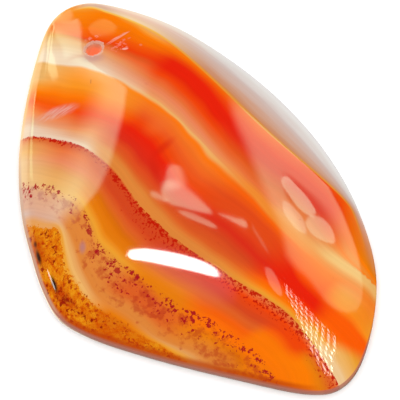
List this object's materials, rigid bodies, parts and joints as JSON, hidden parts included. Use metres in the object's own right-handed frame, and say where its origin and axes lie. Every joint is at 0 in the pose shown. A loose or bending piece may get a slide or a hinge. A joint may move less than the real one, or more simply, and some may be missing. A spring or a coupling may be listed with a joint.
{
  "type": "banded agate pendant stone",
  "caption": "Polished freeform cabochon of banded red, orange and cream agate, flat-backed and domed, with a drilled hole near its narrow end to hang it as a pendant",
  "frame": {"origin": "middle of the outline's box, on the flat back", "axes": "+X across the stone to the side with the wide bevel, +Y along its length to the drilled end, +Z out of the domed front"},
  "size_m": [0.0388, 0.0603, 0.0078],
  "materials": {
    "polished_agate": "polished"
  },
  "bodies": {
    "root": {"agate": "polished_agate"}
  },
  "joints": []
}
